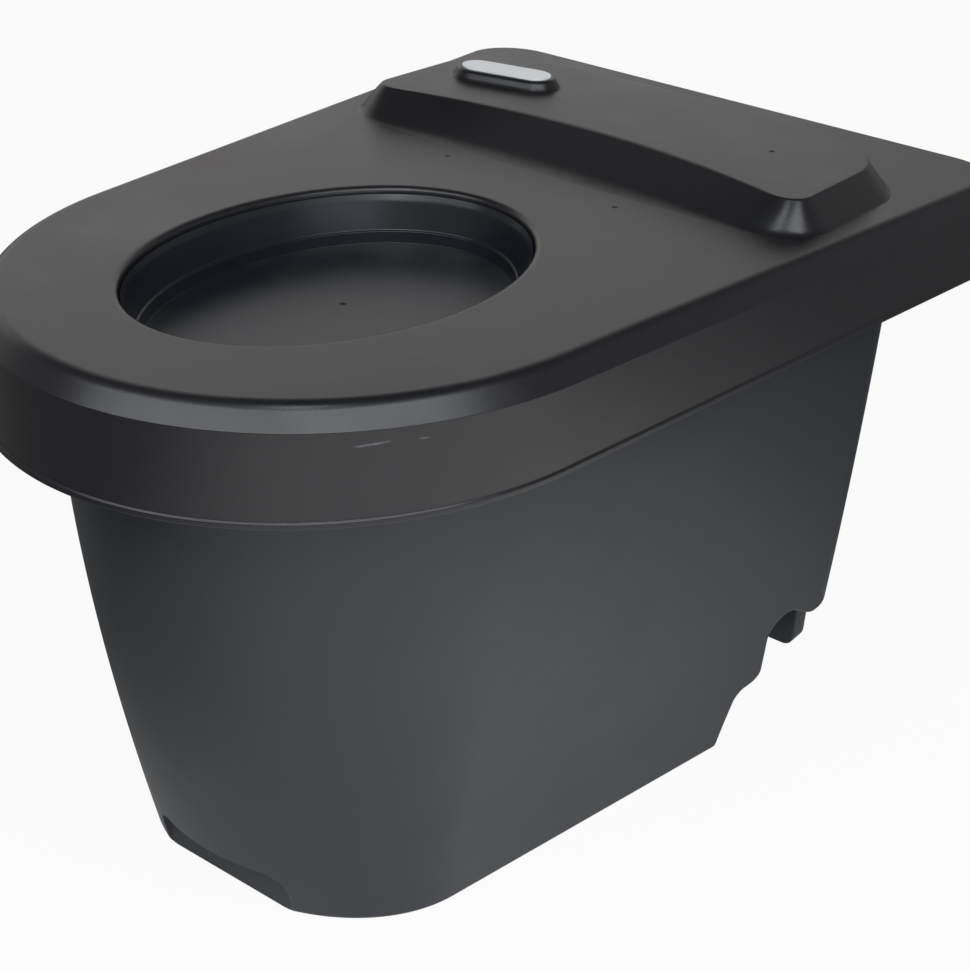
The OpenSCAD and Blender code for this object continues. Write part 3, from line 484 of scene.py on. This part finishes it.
def tubGrid():
    # rows run from the inner floor's middle, up inside, over the flange, down outside and under to the middle
    t = tub
    rim, under, thick, fillet, edge = t["rim"], t["rim"] - t["flange"], t["wall"], t["fillet"], t["edge"]
    recess = softLine(t["recess"], 4, math.inf)
    stations = recess[:, 0]
    firstY, lastY = stations[0], stations[-1]
    nose = np.concatenate([np.linspace(0, t["noseSplit"], t["noseCols"][0]),
                           np.linspace(t["noseSplit"], 1, t["noseCols"][1])[1:]])
    cols = columnsFor(nose, stations=stations, tail=t["tailCols"], **t["cols"])
    kind, value = cols

    def lowerEdge(shift):  # its height at each column, read shift further back
        along = np.interp(value + shift, recess[:, 0], recess[:, 1])
        return np.where(kind >= tailCol, recess[-1, 1], np.where(kind == stationCol, along, 0.0))

    def wall(z, grow):
        return planGrid(cols, *tubDims(z, grow), firstY, lastY)

    def wallRows(z, grow, gripGrow=0.0):  # the wall's plan, pushed back inside the finger recess
        x, y = wall(z, grow)
        return pointsOf(x, gripDepth(x, y, z, gripGrow), z)

    def floorRows(z, grow, shares, gripGrow=0.0):  # each row a share of the way from the middle line to the wall
        z = np.repeat(z[None, :], len(shares), 0)
        x, y = wall(z, grow)
        middle = np.clip(np.where(kind == noseCol, noseY, wall(z, 0.0)[1]), noseY, lastY)
        share = np.asarray(shares, float)[:, None]
        x, y = x * share, middle + (y - middle) * share
        return pointsOf(x, gripDepth(x, y, z, gripGrow), z)

    low, floor = lowerEdge(0.0), lowerEdge(thick) + thick + t["floorUp"]
    inBend, outBend = quarter(5)[1:-1, None], quarter(4)[1:, None]
    climb = (np.linspace(0, 1, t["insideRows"]) ** t["insidePower"])[:, None]
    fall = np.concatenate([np.linspace(1, t["outsideSplit"], t["outsideRows"][0]),
                           np.linspace(t["outsideSplit"], 0, t["outsideRows"][1])[1:]])[:, None]
    lip = softLine([(t["flangeIn"], rim, 0), (t["flangeOut"], rim, t["lip"]), (t["flangeOut"], under, t["lip"]),
                    (t["flangeIn"], under, 0)], 3)
    flangeCols = columnsFor(nose, t["cols"]["side"] + len(stations) + t["tailCols"], t["cols"]["corner"],
                            t["cols"]["back"])
    rows = [
        floorRows(floor, -thick - fillet, t["floor"], thick),
        wallRows(floor + fillet * (1 - np.cos(inBend)), -thick - fillet * (1 - np.sin(inBend)), thick),
        wallRows(floor + fillet + (rim - t["lip"] - floor - fillet) * climb, -thick, thick),
        wallRows(np.full((1, len(value)), rim), -thick + t["lip"]),
        pointsOf(*planGrid(flangeCols, *flangeDims(lip[:, 0])), lip[:, 1:2]),
        wallRows(np.full((1, len(value)), under), t["neck"]),
        wallRows(low + edge + (under - t["neck"] - low - edge) * fall, 0.0),
        wallRows(low + edge * (1 - np.sin(outBend)), edge * (np.cos(outBend) - 1)),
        floorRows(low, -edge, t["floor"][-2::-1]),
    ]
    return bothSides(np.concatenate(rows, 0))


def slab(outline, y0, y1, soft):
    # a front view (x, z) carried from y0 to y1; its ends are rounded by quarter circles of radius soft, and the
    # first and last rows are drawn in to the middle, which closes them
    a = quarter(4)
    depth = np.concatenate([[y0], y0 + soft * (1 - np.sin(a[::-1])), y1 - soft * (1 - np.sin(a)), [y1]])
    inset = np.concatenate([[np.inf], soft * (1 - np.cos(a[::-1])), soft * (1 - np.cos(a)), [np.inf]])[:, None]
    middle = (outline.max(0) + outline.min(0)) / 2
    off = outline - middle
    points = middle[None, None] + np.sign(off) * np.maximum(np.abs(off) - inset[..., None], 0)
    return closed(pointsOf(points[..., 0], depth[:, None], points[..., 1]))


def roundBox(half, corner, middle, steps):
    # a rectangle in the front view with round corners, anticlockwise
    a = quarter(steps)
    x, z = half[0] - corner + corner * np.cos(a), half[1] - corner + corner * np.sin(a)
    xs = np.concatenate([x, -x[::-1], -x, x[::-1]])
    zs = np.concatenate([z, z[::-1], -z, -z[::-1]])
    return np.column_stack([xs + middle[0], zs + middle[1]])


# pads and bores at the rear: half width and height, corner, middle (x, z), and the y where each starts and ends
fittings = {
    "rib": {"half": (192.0, 30.0), "corner": 9.0, "middle": (0.0, 68.0), "y": (258.0, 280.0)},
    "ventPad": {"half": (61.5, 61.5), "corner": 61.4, "middle": (0.0, 328.0), "y": (292.0, 302.0)},
    "drainBoss": {"half": (24.0, 24.0), "corner": 23.9, "middle": (0.0, 25.0), "y": (124.0, 145.0)},
    "inletPad": {"half": (60.0, 33.0), "corner": 4.0, "middle": (0.0, 200.0), "y": (287.0, 300.0)},
}
fittingSoft = 1.5
holes = {
    "ventHole": {"half": (37.8, 37.8), "corner": 37.7, "middle": (0.0, 328.0), "y": (280.0, 310.0)},
    "drainHole": {"half": (12.3, 12.3), "corner": 12.2, "middle": (0.0, 25.0), "y": (110.0, 155.0)},
    "inletHole": {"half": (42.0, 18.0), "corner": 2.0, "middle": (0.0, 200.0), "y": (270.0, 310.0)},
}
gussets = {"x": (-150.0, -75.0, 75.0, 150.0), "half": 4.0, "y": (296.0, 378.0), "z": (390.0, 438.0, 448.0)}


def fittingGrid(f, soft, steps):
    # a round-cornered rectangle carried through the wall, its ends rounded by soft
    return slab(roundBox(f["half"], f["corner"], f["middle"], steps), *f["y"], soft)


def gussetGrid(x):
    # a thin web standing behind the rear wall, under the flange: its side view (y, z) at x - half and x + half,
    # with a row drawn in to the middle beyond each
    (y0, y1), (z0, z1, z2), half = gussets["y"], gussets["z"], gussets["half"]
    side = np.array([(y0, z0), (y0, z2), (y1, z2), (y1, z1)])
    middle = side.mean(0)
    rows = [np.column_stack([np.full(len(side), at), middle + (side - middle) * share])
            for at, share in ((x - half, 0.0), (x - half, 1.0), (x + half, 1.0), (x + half, 0.0))]
    return closed(np.array(rows))


def cutHoles(piece):
    # takes each hole's solid away from the piece
    for name, hole in holes.items():
        cutter = addObject(name, gridMesh(name, [(fittingGrid(hole, 0.0, 12), False)]))
        change = piece.modifiers.new(name, "BOOLEAN")
        change.object, change.operation, change.solver = cutter, "DIFFERENCE", "EXACT"
        bpy.context.view_layer.update()
        cut = bpy.data.meshes.new_from_object(piece.evaluated_get(bpy.context.evaluated_depsgraph_get()))
        piece.modifiers.clear()
        old, piece.data = piece.data, cut
        cut.name = piece.name
        bpy.data.meshes.remove(old)
        bpy.data.objects.remove(cutter)
    print("holes cut", len(piece.data.polygons), "faces")


tubPart = ("base", finishes["tub"], "tub_plastic", ["tub"])
cutHoles(makePiece("tubBody", [(tubGrid(), False)], *tubPart))
for name, fitting in fittings.items():
    pad = makePiece(name, [(fittingGrid(fitting, fittingSoft, 8), False)], *tubPart, crease=50)
    if name != "rib":  # no bore comes near the rib
        cutHoles(pad)
makePiece("rearGussets", [(gussetGrid(x), False) for x in gussets["x"]], *tubPart)


deck = {
    "top": 460.0, "opening": (111.0, 165.0), "openY": -150.0,
    # sections: how far outside the flat top's outline, or inside the deck from the opening's, height, rounding
    "outer": [(-12, 460, 0), (-1.2, 460, 4.8), (10.5, 446, 0.25), (9.3, 389.2, 0.4), (10.5, 388.0, 0.4),
              (10.5, 384.5, 0.9), (4.5, 384.5, 1.5), (4.5, 440, 3), (-0.75, 454, 2), (-14, 454, 0)],
    "inner": [(15, 454, 0), (5, 454, 1), (5, 418, 0.6), (-5.8, 418, 0.6), (-5.8, 423, 0.6), (0, 423, 0.4),
              (0, 460, 5.0), (12, 460, 0)],
    "noseCols": 72, "cols": {"side": 20, "corner": 10, "back": 16},
}


def oval(turn, grow):
    # the opening's ellipse at the angles turn, grown outwards
    a, b = deck["opening"]
    return (a + grow) * np.cos(turn), deck["openY"] + (b + grow) * np.sin(turn)


def deckGrid():
    # the skirt and bevel round the outline, then the collar round the opening, whose columns face the outline's
    cols = columnsFor(np.linspace(0, 1, deck["noseCols"]), **deck["cols"])
    outer, inner = softLine(deck["outer"]), softLine(deck["inner"])
    x, y = planGrid(cols, *flangeDims(outer[:, 0]))
    a, b = deck["opening"]
    turn = np.arctan2((y[0] - deck["openY"]) / b, x[0] / a)
    return bothSides(np.concatenate([pointsOf(x, y, outer[:, 1:2]),
                                     pointsOf(*oval(turn, inner[:, 0:1]), inner[:, 1:2])], 0))


platform = {
    "width": 426.0, "lean": 17.0, "front": 101.0, "slope": 55.0, "depth": 146.0, "frontBow": 46.0, "rearBow": 30.0,
    "rearRun": 14.0, "footCorner": 46.0, "topCorner": 27.0, "rearCorner": 54.0, "height": 22.0,
    "wall": [(-0.5, -0.02, 0), (0.0, 0.0, 0.30), (1.0, 1.0, 0.07), (1.5, 1.0, 0)],  # way in, way up, rounding
    "sink": 0.2, "buried": 1.5, "bottom": 1.7,
}


def platformPlan(t, edge=48, corner=12):
    # a band from foot (t = 0) to top (t = 1) with round corners; its front and rear edges are bent back by
    # bow (1 - (2x / width)^2)
    p = platform
    t = np.asarray(t, float).reshape(-1, 1)
    half = p["width"] / 2 - t * p["lean"]
    frontR = p["footCorner"] + (p["topCorner"] - p["footCorner"]) * t
    rearR = p["rearCorner"] + 0 * t

    def bow(x, b):
        return b * (1 - (2 * x / p["width"]) ** 2)

    def front(x):
        return p["front"] + t * (p["slope"] - p["frontBow"] + bow(x, p["frontBow"]))

    def rear(x):
        return p["front"] + p["slope"] + p["depth"] - p["rearBow"] + bow(x, p["rearBow"]) + (1 - t) * p["rearRun"]
    deep = (rear(half) - front(half)) / 2
    a, b = np.linspace(-np.pi / 2, 0, corner + 1)[1:], quarter(corner)[:-1]
    flat = np.linspace(-1, 1, edge + 1)
    xs, vs = [], []  # x, and the place between the front (-1) and the rear (1)
    for side, r1, r2 in ((1, frontR, rearR), (-1, rearR, frontR)):
        xs += [side * flat * (half - r1), side * (half - r1 + r1 * np.cos(a)), side * (half - r2 + r2 * np.cos(b))]
        vs += [0 * xs[-3] - side, side * (r1 / deep * (1 + np.sin(a)) - 1), side * (1 - r2 / deep * (1 - np.sin(b)))]
    x, v = np.concatenate(xs, 1), np.concatenate(vs, 1)
    return x, front(x) + (rear(x) - front(x)) * (v + 1) / 2, (front(x) + rear(x)) / 2, half - rearR


def platformGrid():
    # rows run from the hidden bottom out to the foot, up the slope and in over the top to a spine along the middle
    p, top = platform, deck["top"]
    wall = softLine(p["wall"], 7)
    x, y, mid, reach = platformPlan(wall[:, 0])
    slope = pointsOf(x, y, top - p["sink"] + (p["height"] + p["sink"]) * wall[:, 1:2])
    share = np.array([0.6, 0.3, 0.0])[:, None]
    spineX = np.clip(x[-1], -reach[-1], reach[-1])
    spineY = np.interp(spineX, np.sort(x[-1]), mid[-1][np.argsort(x[-1])])
    over = pointsOf(spineX + (x[-1] - spineX) * share, spineY + (y[-1] - spineY) * share, top + p["height"])
    foot = slope[:1] - np.array([0.0, 0.0, p["buried"]])
    share = np.array([0.0, 0.5])[:, None]
    baseX, baseY = np.clip(x[0], -reach[0], reach[0]), 0 * x[0] + mid[0].mean()
    base = pointsOf(baseX + (x[0] - baseX) * share, baseY + (y[0] - baseY) * share, top - p["bottom"])
    return closed(np.concatenate([base, foot, slope, over], 0))


badge = {"x": -127.0, "y": 215.5, "turn": 14.4, "long": 78.0, "wide": 30.0, "thick": 1.6, "pad": 8.0, "rim": 3.0,
         "spread": 5.0, "footOut": 4.0, "footDown": 2.0, "footThick": 0.1, "bandIn": 3.0, "bandUp": 0.1,
         "middle": -40.0}  # the middle is further in than the spine, so that the surface closes there


def stadiumGrid(line, z0, turns=14):
    # a stadium plan grown by the line's first value at heights z0 plus its second, closed to its spine at both ends
    b = badge
    a = np.linspace(-np.pi / 2, np.pi / 2, turns + 1)
    cx = np.concatenate([np.ones(turns + 1), -np.ones(turns + 1), [1.0]]) * (b["long"] - b["wide"]) / 2
    ux = np.concatenate([np.cos(a), -np.cos(a), [0.0]])
    uy = np.concatenate([np.sin(a), -np.sin(a), [-1.0]])
    r = np.maximum(b["wide"] / 2 + line[:, 0:1], 0)
    x, y = cx + r * ux, r * uy
    c, s = math.cos(math.radians(b["turn"])), math.sin(math.radians(b["turn"]))
    return pointsOf(b["x"] + x * c - y * s, b["y"] + x * s + y * c, z0 + line[:, 1:2])


def padLine():
    # the pad's section: buried foot, slope, rounded rim, flat top
    b = badge
    foot, out = b["rim"] + b["spread"], b["rim"] + b["spread"] + b["footOut"]
    return softLine([(b["middle"], -b["footDown"], 0), (out, -b["footDown"], 0), (out, -b["footThick"], 0),
                     (foot, 0, 3.5), (b["rim"], b["pad"], 2.2), (b["middle"], b["pad"], 0)], 7)


def plateLine():
    # the plate's section: square side, rounded edge, a face a hair lower than its band
    b = badge
    face = b["thick"] - b["bandUp"]
    return softLine([(b["middle"], 0, 0), (0, 0, 0.3), (0, b["thick"], 0.8), (-b["bandIn"], face, 0.6),
                     (b["middle"], face, 0)], 4)


deckPart = ("deck_unit", finishes["deck"], "deck_plastic", ["deck"])
platformTop = deck["top"] + platform["height"]
makePiece("deckShell", [(deckGrid(), True)], *deckPart)
makePiece("deckPlatform", [(platformGrid(), False)], *deckPart, crease=60)
makePiece("badgePad", [(stadiumGrid(padLine(), platformTop), False)], *deckPart, crease=60)
makePiece("badgeFace", [(stadiumGrid(plateLine(), platformTop + badge["pad"]), False)],
          "deck_unit", finishes["badge"], "badge_white", ["badge_plate"], crease=40)


plug = {
    # how far outside the opening's outline, height, rounding: underside, ledge, rim and dish
    "line": [(-111, 417, 0), (-16, 417, 5), (-7, 423, 1.5), (-7, 425, 0.3), (-1.2, 425, 0.5), (-0.9, 455.0, 0.3),
             (-3.0, 450.5, 1.2), (-9.0, 430, 0.8), (-10.6, 429.7, 0.5), (-12.0, 421.0, 0.4), (-111, 421, 0)],
    "turns": 144,
}


def plugGrid():
    # the dish's section carried round the oval, closed along the middle line
    line = softLine(plug["line"])
    turn = np.linspace(0, 2 * np.pi, plug["turns"] + 1)
    return pointsOf(*oval(turn, line[:, 0:1]), line[:, 1:2])


makePiece("plugDish", [(plugGrid(), False)], "plug_unit", finishes["plug"], "plug_plastic", ["opening_plug"])


# the nodes that keep their solids, by finish
kept = {
    "black": ["drop_chute", "drain_grate", "drain_outlet", "drain_nut"],
    "grey": ["grate_legs", "vent_backing_ring"],
    "tub": ["vent_spigot", "inlet_cover"],
    "bin": ["collection_bin"],
    "rubber": ["deck_seal", "plug_seal", "drain_washer", "vent_gasket", "inlet_gasket"],
    "screw": ["chute_screws", "vent_screws", "inlet_screws"],
    "mesh": ["drain_strainer", "vent_mesh", "inlet_mesh"],
}
for finish, names in kept.items():
    for name in names:
        nodes[name].data.materials.clear()
        nodes[name].data.materials.append(finishes[finish])
print("kept solids dressed")


room = {
    "floorHalf": 9.0, "floorTones": ((0.78, 0.78, 0.78, 1), (0.82, 0.82, 0.82, 1)), "floorNoise": (2.0, 2.0),
    "floorRough": 0.9, "floorShine": 0.1,
    "cameraShare": 0.93,  # of the floor is plain white to the eye, and the rest keeps the shadow
    # in mirror reflections, the floor has a pool of light: middle, radii between which it fades, levels
    "pool": (0.95, -0.45, 0.0), "poolEdge": (0.5, 1.35), "poolLight": 1.1, "poolDark": 0.15,
    # the sky's level for soft light; in reflections, at the horizon and overhead, and the heights between them
    "sky": 0.20, "horizon": 0.22, "ceiling": 0.03, "bend": (0.42, 0.72),
    # a glow at the far left in reflections: level, direction, how near to it, the heights over which it rises
    "glow": 0.95, "glowSide": (-0.82, 0.57, 0.0), "glowEdge": (0.50, 0.98), "rise": (-0.1, 0.42),
    "cool": (0.90, 0.97, 1.08, 1), "warm": (1.0, 0.985, 0.975, 1),  # soft light, reflections
}
lamps = [
    # place, aimed at, width, height, watts, colour
    ((0.48, -1.96, 2.21), (0.08, -0.37, 0.455), 3.8, 0.85, 43.0, (0.97, 0.99, 1.0)),
    ((1.64, -0.55, 2.06), (0.16, -0.29, 0.453), 1.9, 0.85, 20.0, (0.97, 0.99, 1.0)),
    ((2.42, -0.58, 0.94), (-0.08, -0.05, 0.44), 1.6, 0.6, 5.0, (0.80, 0.93, 1.0)),
    ((0.63, -0.68, 2.25), (0.19, 0.12, 0.47), 0.30, 0.6, 3.4, (0.92, 0.96, 1.0)),
]


def makeFloor():
    # matt grey for soft light, white for the eye but for its shadow, and the pool of light for mirror reflections
    r = room["floorHalf"]
    mesh = bpy.data.meshes.new("floor")
    mesh.from_pydata([(-r, -r, 0), (r, -r, 0), (r, r, 0), (-r, r, 0)], [], [(0, 1, 2, 3)])
    paint = newPaint("floorPaint")
    tone = paint.blend(paint.noise(*room["floorNoise"]), *room["floorTones"])
    paint.finish(color=tone, rough=room["floorRough"], specular=room["floorShine"])
    eye, mirror = paint.rays()
    away = paint.vector("DISTANCE", paint.place(), room["pool"])
    pool = (1 - away.step(*room["poolEdge"])) * room["poolLight"] + room["poolDark"]
    seen = (eye * room["cameraShare"] + mirror).held()
    glow = paint.node("ShaderNodeEmission", inputs={"Color": (1, 1, 1, 1), "Strength": mirror * (pool - 1) + 1})
    matt = Value(paint, paint.tree.nodes["Principled BSDF"].outputs[0])
    paint.plug(paint.tree.nodes["Material Output"].inputs["Surface"],
               paint.node("ShaderNodeMixShader", inputs={0: seen, 1: matt, 2: glow}))
    mesh.materials.append(paint.owner)
    addObject("floor", mesh)


def makeSky():
    # white for the eye, an even dim level for soft light, and for mirror reflections dim at the horizon, darker
    # overhead and bright in the glow at the far left
    world = bpy.data.worlds.new("sky")
    bpy.context.scene.world = world
    paint = Paint(world)
    eye, mirror = paint.rays()
    way = paint.node("ShaderNodeTexCoord", output="Generated")
    up = paint.parts(way)[2]
    side = paint.vector("DOT_PRODUCT", way, room["glowSide"]).step(*room["glowEdge"])
    low = side * up.step(*room["rise"]) * room["glow"] + room["horizon"]
    reflected = low + up.step(*room["bend"]) * (room["ceiling"] - low)
    level = eye + (1 - eye) * (mirror * reflected + (1 - mirror) * room["sky"])
    tint = paint.blend(eye, paint.blend(mirror, room["cool"], room["warm"]), (1, 1, 1, 1))
    paint.plug(paint.tree.nodes["Background"].inputs["Strength"], level)
    paint.plug(paint.tree.nodes["Background"].inputs["Color"], tint)


def makeLamps():
    # each stands at its place and its -Z looks at its aim
    for k, (place, aim, width, height, watts, color) in enumerate(lamps):
        data = bpy.data.lights.new(f"lamp{k}", "AREA")
        data.shape, data.size, data.size_y = "RECTANGLE", width, height
        data.energy, data.color = watts, color
        lamp = addObject(f"lamp{k}", data)
        lamp.location = place
        lamp.rotation_euler = (Vector(aim) - Vector(place)).to_track_quat("-Z", "Y").to_euler()


makeFloor()
makeSky()
makeLamps()
bpy.context.scene.view_settings.view_transform = "Standard"
print("floor, sky and lamps set")
